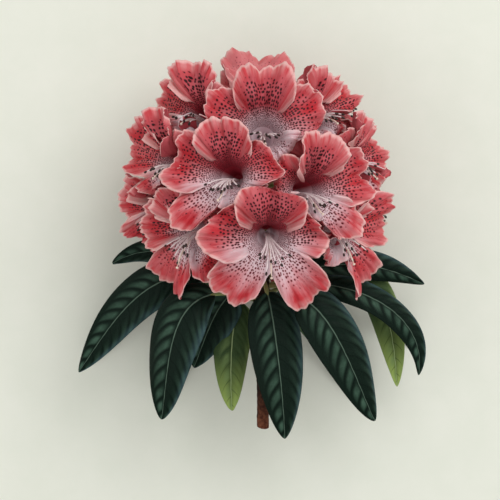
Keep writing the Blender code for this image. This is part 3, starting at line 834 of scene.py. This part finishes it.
# Petal colours, and the spacing of its streaks, veins, creases and spots in millimetres. A full turn
# is 187 mm at a petal's middle and 285 mm at its margin. Real veins are half as far apart, too fine
# to show here.
petal = {
    "coral": "#C52D37",
    "deep": "#A81A2A",
    "pale": "#CF646A",
    "band": "#DA8688",
    "rim": "#EDB9B6",
    "ground": "#C6656E",
    "throat": "#DFC8CF",
    "upperThroat": "#8E1526",
    "spot": "#2E060E",
    "lowerSpot": "#7A1220",
    "halo": "#99182A",
    "outside": "#B04650",
    "middleTurn": 187.0,
    "marginTurn": 285.0,
    "streak": 5.5,
    "vein": 1.1,
    "crease": 3.0,
    "spotSpacing": 2.125,
    "spotStart": 0.2,
    "skin": {
        "Roughness": 0.6, "Specular_IOR_Level": 0.3,
        "Subsurface_Weight": 0.1, "Subsurface_Radius": (0.004, 0.0015, 0.0015),
    },
}
soft = {"interpolation_type": "SMOOTHSTEP"}


# Fresh petal: velvety and without a shine, coral red that pales in streaks to a cream margin, with
# rows of maroon spots.
def makePetalFront():
    material, tree = newMaterial("petalFront", **petal["skin"])
    petalMap = addNode(tree, "UVMap", uv_map="petalMap")
    marginMap = addNode(tree, "UVMap", uv_map="marginMap")
    seed = addNode(tree, "Attribute", give=2, attribute_name="bloomSeed")
    pale = addNode(tree, "Attribute", give=2, attribute_name="paleThroat")
    spotShare = addNode(tree, "Attribute", give=2, attribute_name="spotShare")
    turn = addNode(tree, "SeparateXYZ", petalMap)
    run = addNode(tree, "SeparateXYZ", petalMap, give=1)
    edge = addNode(tree, "SeparateXYZ", marginMap)
    angle = addNode(tree, "Math", turn, tau, operation="MULTIPLY")
    upper = addNode(tree, "MapRange", addNode(tree, "Math", angle, operation="COSINE"), -1.0, 1.0)
    far = addNode(tree, "Math", seed, 37.0, operation="MULTIPLY")

    # Streaks, veins and creases fan out from the throat: how many in a turn, and in 100 mm of length.
    rays = []
    for count, along, detail, roughness in (
        (petal["middleTurn"] / petal["streak"], 3.0, 4.0, 0.6),
        (petal["middleTurn"] / petal["vein"], 8.0, 3.0, 0.55),
        (petal["marginTurn"] / petal["crease"], 3.0, 2.0, 0.5),
    ):
        x = addNode(tree, "Math", turn, count, operation="MULTIPLY")
        y = addNode(tree, "Math", run, along, operation="MULTIPLY")
        place = addNode(tree, "CombineXYZ", x, y, far)
        rays.append(addNode(tree, "TexNoise", place, 1.0, detail, roughness))
    streak, vein, crease = rays

    # The coral field deepens in streaks; a paler, creased band runs along the margin to a cream rim.
    reddened = addNode(tree, "MapRange", streak, 0.36, 0.58)
    veined = addNode(tree, "MapRange", vein, 0.48, 0.72, 0.0, 0.7)
    wandering = addNode(tree, "Math", streak, -0.09, edge, operation="MULTIPLY_ADD")
    banded = addNode(tree, "MapRange", wandering, 0.045, -0.015, 0.0, 0.85, **soft)
    creaseShare = addNode(tree, "MapRange", crease, 0.42, 0.64, 0.0, 0.9)
    creased = layOver(tree, petal["band"], (creaseShare, petal["coral"]))
    creaseEdge = addNode(tree, "Math", crease, 0.035, edge, operation="MULTIPLY_ADD")
    rimmed = addNode(tree, "MapRange", creaseEdge, 0.046, 0.022, 0.0, 0.95, **soft)

    # Upper lobe: paler ground under the spots, and paler still where a bloom has few of them.
    shield = addNode(tree, "MapRange", upper, 0.72, 0.93, **soft)
    inside = addNode(tree, "MapRange", edge, 0.05, 0.13)
    washed = addNode(tree, "MapRange", spotShare, 1.0, 0.2, 0.0, 0.5)

    # The throat: deep red under the upper lobe, whitish on the lower side, all pale in a few blooms.
    roof = addNode(tree, "MapRange", upper, 0.4, 0.8)
    deepDown = addNode(tree, "MapRange", run, 0.37, 0.29)
    palest = addNode(tree, "MapRange", pale, 0.92, 1.0)
    throat = layOver(tree, petal["throat"], (roof, petal["upperThroat"]))
    throat = layOver(tree, throat, (deepDown, palest, petal["throat"]))
    throatEnd = addNode(tree, "MapRange", upper, 0.0, 0.75, 0.76, 0.64)
    throatStart = addNode(tree, "Math", throatEnd, 0.26, operation="SUBTRACT")
    longer = addNode(tree, "MapRange", pale, 0.0, 1.0, -0.16, 0.1)
    throatEnd = addNode(tree, "Math", throatEnd, longer, operation="ADD")
    ragged = addNode(tree, "Math", vein, 0.1, run, operation="MULTIPLY_ADD")
    ragged = addNode(tree, "Math", streak, 0.22, ragged, operation="MULTIPLY_ADD")
    inThroat = addNode(tree, "MapRange", ragged, throatEnd, throatStart, **soft)

    # Spots: dashes in rows that run out from the throat, farthest on the upper lobe.
    spotColumns = petal["middleTurn"] / petal["spotSpacing"]
    beyond = addNode(tree, "Math", run, petal["spotStart"], operation="SUBTRACT")
    out = addNode(tree, "Math", beyond, math.e, operation="LOGARITHM")
    x = addNode(tree, "Math", turn, spotColumns, operation="MULTIPLY")
    y = addNode(tree, "Math", out, spotColumns / tau * 0.66, far, operation="MULTIPLY_ADD")
    spots = {"Vector": addNode(tree, "CombineXYZ", x, y), "Scale": 1.0, "Randomness": 0.6}
    distance = addNode(tree, "TexVoronoi", voronoi_dimensions="2D", **spots)
    pick = addNode(tree, "TexVoronoi", give=1, voronoi_dimensions="2D", **spots)
    pick = addNode(tree, "SeparateXYZ", pick)
    limit = addNode(tree, "MapRange", upper, 0.0, 1.0, 0.66, 0.8)
    fadeStart = addNode(tree, "Math", limit, 0.2, operation="SUBTRACT")
    presence = addNode(tree, "MapRange", run, limit, fadeStart)
    for share in (
        addNode(tree, "MapRange", upper, 0.1, 0.8, 0.7, 1.0),
        addNode(tree, "MapRange", edge, 0.05, 0.12),
        spotShare,
    ):
        presence = addNode(tree, "Math", presence, share, operation="MULTIPLY")
    chosen = addNode(tree, "Math", pick, -0.4, 0.05, operation="MULTIPLY_ADD")
    size = addNode(tree, "Math", presence, chosen, operation="ADD")
    size = addNode(tree, "MapRange", size, 0.0, 0.7, 0.0, 0.38)
    spread = addNode(tree, "Math", 0.24, beyond, operation="DIVIDE")
    spread = addNode(tree, "Math", spread, 1.0, operation="MINIMUM")
    radius = addNode(tree, "Math", size, spread, operation="MULTIPLY")
    inner = addNode(tree, "Math", radius, 0.09, operation="SUBTRACT")
    outer = addNode(tree, "Math", radius, 1.0, 0.14, operation="MULTIPLY_ADD")
    present = addNode(tree, "MapRange", radius, 0.02, 0.1)
    haloed = addNode(tree, "MapRange", distance, outer, inner, 0.0, 0.75)
    spotted = addNode(tree, "MapRange", distance, radius, inner)
    lower = addNode(tree, "MapRange", upper, 0.1, 0.6, 0.5, 0.0)
    spotColour = layOver(tree, petal["spot"], (lower, petal["lowerSpot"]))

    colour = layOver(
        tree,
        petal["pale"],
        (reddened, petal["coral"]),
        (veined, petal["deep"]),
        (banded, creased),
        (rimmed, petal["rim"]),
        (shield, inside, 0.65, petal["ground"]),
        (washed, petal["band"]),
        (inThroat, throat),
        (haloed, present, petal["halo"]),
        (spotted, present, spotColour),
    )
    rough = addNode(tree, "MapRange", edge, 0.14, 0.0, 0.0, 3.0)
    height = addNode(tree, "Math", crease, rough, vein, operation="MULTIPLY_ADD")
    return finishMaterial(material, colour, height, 0.5, 0.5 * mm)


# The petals' outer side: even rose with pale veins and a deep red foot, no spots.
def makePetalBack():
    material, tree = newMaterial("petalBack", **petal["skin"])
    petalMap = addNode(tree, "UVMap", uv_map="petalMap")
    mapped = addNode(tree, "Mapping", Vector=petalMap, Scale=(90.0, 5.0, 1.0))
    vein = addNode(tree, "TexNoise", mapped, 1.0, 3.0)
    veined = addNode(tree, "MapRange", vein, 0.35, 0.7)
    foot = addNode(tree, "MapRange", addNode(tree, "SeparateXYZ", petalMap, give=1), 0.4, 0.1, 0.0, 0.6)
    colour = layOver(tree, petal["pale"], (veined, petal["outside"]), (foot, petal["deep"]))
    return finishMaterial(material, colour, vein, 0.3, 0.4 * mm)


# Leaf looks: body, painted sheen between the veins, painted highlight along the right margin, midrib,
# tip, and roughness. The upper side is waxy and nearly black green, a young one pale and matt, the
# underside dull.
leafLooks = {
    "leafDark": ("#06100C", "#4A6656", "#4F6A72", "#5A6E60", "#0A1A12", 0.42),
    "leafYoung": ("#35472C", "#758C58", "#98AE68", "#A9B987", "#92A65A", 0.5),
    "leafUnderside": ("#435A3E", "#667C5C", "#5C7252", "#8C9A70", "#4E6648", 0.65),
}
leafPattern = {"grain": 0.625, "wander": 7.143, "patch": 14.286}  # millimetres from one to the next


# Leathery leaf: a painted sheen (painted highlight) between dark curved veins, over fine pores, and a thin
# pale midrib.
def makeLeafFront(name, body, paintedSheen, paintedMarginHighlight, rib, tip, roughness):
    material, tree = newMaterial(name, Roughness=roughness, Specular_IOR_Level=0.05)
    leafMap = addNode(tree, "UVMap", uv_map="leafMap")
    bladeMap = addNode(tree, "UVMap", uv_map="bladeMap")
    x = addNode(tree, "SeparateXYZ", leafMap)
    y = addNode(tree, "SeparateXYZ", leafMap, give=1)
    across = addNode(tree, "SeparateXYZ", bladeMap)
    along = addNode(tree, "SeparateXYZ", bladeMap, give=1)
    offset = addNode(tree, "Math", across, 2.0, -1.0, operation="MULTIPLY_ADD")
    aside = addNode(tree, "Math", x, operation="ABSOLUTE")
    edge = addNode(tree, "Math", offset, operation="ABSOLUTE")
    right = addNode(tree, "Math", x, 0.0, operation="LESS_THAN")
    wander = addNode(tree, "TexNoise", leafMap, mapSpan / leafPattern["wander"], 2.0)
    grain = addNode(tree, "TexNoise", leafMap, mapSpan / leafPattern["grain"], 6.0, 0.7)
    patchy = addNode(tree, "TexNoise", leafMap, mapSpan / leafPattern["patch"], 3.0)

    # Place between two veins, from 0 at one to 1 at the next.
    bent = addNode(tree, "Math", edge, 2.0, operation="POWER")
    slope = addNode(tree, "Math", bent, -blade["veinCurve"], -blade["veinSlope"], operation="MULTIPLY_ADD")
    row = addNode(tree, "Math", aside, slope, y, operation="MULTIPLY_ADD")
    row = addNode(tree, "Math", wander, 0.02, row, operation="MULTIPLY_ADD")
    first = addNode(tree, "MapRange", right, 0.0, 1.0, 0.4, 0.9)
    row = addNode(tree, "Math", row, mapSpan / blade["veinSpacing"], first, operation="MULTIPLY_ADD")
    between = addNode(tree, "Math", row, operation="FRACT")

    # The painted sheen brightens after one vein and falls off before the next, and lies near the midrib on
    # the left half and along the margin on the right one.
    rising = addNode(tree, "MapRange", between, 0.12, 0.5, **soft)
    falling = addNode(tree, "MapRange", between, 1.0, 0.72, **soft)
    offRib = addNode(tree, "MapRange", edge, 0.04, 0.2)
    nearRib = addNode(tree, "MapRange", edge, 0.75, 0.4)
    nearRib = addNode(tree, "Math", offRib, nearRib, operation="MULTIPLY")
    lit = addNode(tree, "Mix", right, nearRib, addNode(tree, "MapRange", edge, 0.35, 0.95))
    # The painted sheen comes and goes in patches and with the pores.
    for share in (
        addNode(tree, "MapRange", patchy, 0.3, 0.62, 0.25, 1.0),
        addNode(tree, "MapRange", grain, 0.2, 0.7, 0.75, 1.1),
    ):
        lit = addNode(tree, "Math", lit, share, operation="MULTIPLY")
    grained = addNode(tree, "MapRange", grain, 0.35, 0.7, 0.0, 0.18)
    toTip = addNode(tree, "MapRange", along, 0.55, 0.95)
    offMiddle = addNode(tree, "MapRange", edge, 0.0, 0.5, 0.45, 1.0)
    byHalf = addNode(tree, "MapRange", right, 0.0, 1.0, 0.8, 0.5)
    # A painted highlight runs along the right margin only, as of light from the upper right.
    atMargin = addNode(tree, "MapRange", edge, 0.68, 0.98)
    # On the veins the painted sheen is taken away again, back to the body colour.
    onVein = addNode(tree, "MapRange", between, 0.0, 0.1, 1.0, 0.0)
    offMargin = addNode(tree, "MapRange", edge, 0.95, 0.6, 0.0, 0.85)
    ribWidth = addNode(tree, "MapRange", along, 0.0, 1.0, 0.006, 0.0018)
    ribbed = addNode(tree, "Math", ribWidth, aside, operation="SUBTRACT")
    ribbed = addNode(tree, "MapRange", ribbed, -0.0008, 0.0012, 0.0, 0.9)

    colour = layOver(
        tree,
        body,
        (grained, paintedSheen),
        (toTip, offMiddle, tip),
        (lit, rising, falling, byHalf, paintedSheen),
        (right, atMargin, lit, 0.6, paintedMarginHighlight),
        (onVein, offMargin, body),
        (ribbed, rib),
    )
    return finishMaterial(material, colour, grain, 0.35, 0.3 * mm)


# Plain looks: two colours that mix in soft patches so many millimetres apart, and the roughness.
mottledLooks = {
    "filamentWhite": ("#E0C9CD", "#F2E8E7", 2.5, 0.5),  # silky stamen threads, nearly white
    "antherDark": ("#170B0A", "#3C2119", 1.111, 0.7),  # dry anthers, dull and nearly black
    "stylePale": ("#D9B9AC", "#EAD8C9", 3.333, 0.4),  # fleshy style, pale and a little moist
    "stalkGreen": ("#76854A", "#8E7B50", 5.556, 0.5),  # downy green stalks, flushed with brown
    "cutWood": ("#B9855C", "#D8AE84", 3.333, 0.8),  # sawn wood, dry and pale
}


def makeMottled(name, first, second, spacing, roughness):
    material, tree = newMaterial(name, Roughness=roughness)
    place = addNode(tree, "TexCoord", give=3)
    noise = addNode(tree, "TexNoise", place, 1.0 / (spacing * mm), 5.0, 0.6)
    mixed = addNode(tree, "MapRange", noise, 0.35, 0.68)
    return finishMaterial(material, layOver(tree, first, (mixed, second)), noise, 0.5, 0.2 * mm)


# The bark's colours by the cut and, with painted shade, by the leaves, where the one gives way to the
# other along the stem, in metres, and how far apart its cracks and speckles are, in millimetres.
bark = {
    "cut": ("#4E2417", "#8A543C"),
    "leafShaded": ("#150A07", "#3A1F15"),
    "crackColour": "#0E0705",
    "change": (-0.1, -0.126),
    "crack": 1.4286,
    "speckle": 3.125,
}


# Bark: cracked and nearly black toward the leaves, where the black is painted shade under the leaf whorl;
# red-brown and speckled toward the cut.
def makeBark():
    material, tree = newMaterial("barkBrown", Roughness=0.85, Specular_IOR_Level=0.2)
    place = addNode(tree, "TexCoord", give=3)
    stretched = addNode(tree, "Mapping", Vector=place, Scale=(1.0, 0.25, 1.0))
    crack = addNode(tree, "TexNoise", stretched, 1.0 / (bark["crack"] * mm), 6.0, 0.65)
    speckle = addNode(tree, "TexNoise", place, 1.0 / (bark["speckle"] * mm), 4.0, 0.7)
    # Darker toward the leaves: painted shade under the leaf whorl.
    toCut = addNode(tree, "MapRange", addNode(tree, "SeparateXYZ", place, give=1), *bark["change"])
    mixed = addNode(tree, "MapRange", speckle, 0.35, 0.68)
    cracked = addNode(tree, "MapRange", crack, 0.44, 0.36, 0.0, 0.8)
    (cutDark, cutPale), (leafShadedDark, leafShadedPale) = bark["cut"], bark["leafShaded"]
    light = layOver(tree, cutDark, (mixed, cutPale))
    leafShaded = layOver(tree, leafShadedDark, (mixed, leafShadedPale))
    colour = layOver(tree, leafShaded, (toCut, light), (cracked, bark["crackColour"]))
    return finishMaterial(material, colour, crack, 0.6, 0.6 * mm)


petalFaces = (makePetalFront(), makePetalBack())
leafDark, leafYoung, leafUnder = (makeLeafFront(name, *look) for name, look in leafLooks.items())
filament, anther, style, stalkGreen, cutWood = (
    makeMottled(name, *look) for name, look in mottledLooks.items()
)
barkBrown = makeBark()
print("materials made")

for name, bloom in blooms.items():
    makeCorolla(name, bloom, petalFaces)
print("corollas made")
for name, bloom in blooms.items():
    makeStamens(name, bloom, (filament, anther, style))
    makePedicel(name, bloom, (stalkGreen,))
print("stamens and pedicels made")
for name in leaves:
    upperSide, slotName = (leafYoung, "young_leaf") if "young" in name else (leafDark, "leaf")
    makeLeaf(name, (upperSide, leafUnder, stalkGreen))
print("leaves made")
makeStem((barkBrown, cutWood))
makeAxis((stalkGreen,))
print("stem and axis made")

# The stage, in metres: a pale floor, a broad soft light from the upper right, a weak one opposite,
# and a camera straight above that sees a square of the given size at the shoot's mid-height.
stage = {
    "floor": ("#E9EBDF", "#EDEEE3", 33.333, 0.9),  # matt, like paper
    "floorSize": 6.0,
    "sky": "#F4F5F2",
    "skyStrength": 0.73,
    "keyPlace": (0.6, 0.7, 1.2),
    "keyWatts": 9.2,
    "fillPlace": (-0.9, -0.3, 1.0),
    "fillWatts": 2.0,
    "lightSize": 1.2,
    "lightAim": (0.0, 0.0, 0.05),
    "cameraHeight": 3.0,
    "cameraOver": (-0.00265, -0.00625),
    "seen": 0.3335,
    "seenHeight": 0.085,
}

floorMesh = bpy.data.meshes.new("floor")
bm = bmesh.new()
bmesh.ops.create_grid(bm, x_segments=1, y_segments=1, size=stage["floorSize"])
bm.to_mesh(floorMesh)
bm.free()
floorMesh.materials.append(makeMottled("paperFloor", *stage["floor"]))
floor = bpy.data.objects.new("floor", floorMesh)
bpy.context.scene.collection.objects.link(floor)


def addLight(name, place, watts):
    light = bpy.data.lights.new(name, "AREA")
    light.energy = watts
    light.shape = "DISK"
    light.size = stage["lightSize"]
    lamp = bpy.data.objects.new(name, light)
    lamp.location = place
    way = Vector(stage["lightAim"]) - Vector(place)
    lamp.rotation_euler = way.to_track_quat("-Z", "Y").to_euler()
    bpy.context.scene.collection.objects.link(lamp)


addLight("keyLight", stage["keyPlace"], stage["keyWatts"])
addLight("fillLight", stage["fillPlace"], stage["fillWatts"])

world = bpy.data.worlds.new("paleSky")
world.use_nodes = True
background = world.node_tree.nodes["Background"]
background.inputs["Color"].default_value = hexColour(stage["sky"])
background.inputs["Strength"].default_value = stage["skyStrength"]
bpy.context.scene.world = world
bpy.context.scene.view_settings.view_transform = "Standard"

lens = bpy.data.cameras.new("overhead")
lens.lens = lens.sensor_width * (stage["cameraHeight"] - stage["seenHeight"]) / stage["seen"]
camera = bpy.data.objects.new("overhead", lens)
camera.location = (*stage["cameraOver"], stage["cameraHeight"])
bpy.context.scene.collection.objects.link(camera)
bpy.context.scene.camera = camera

print("stage set")
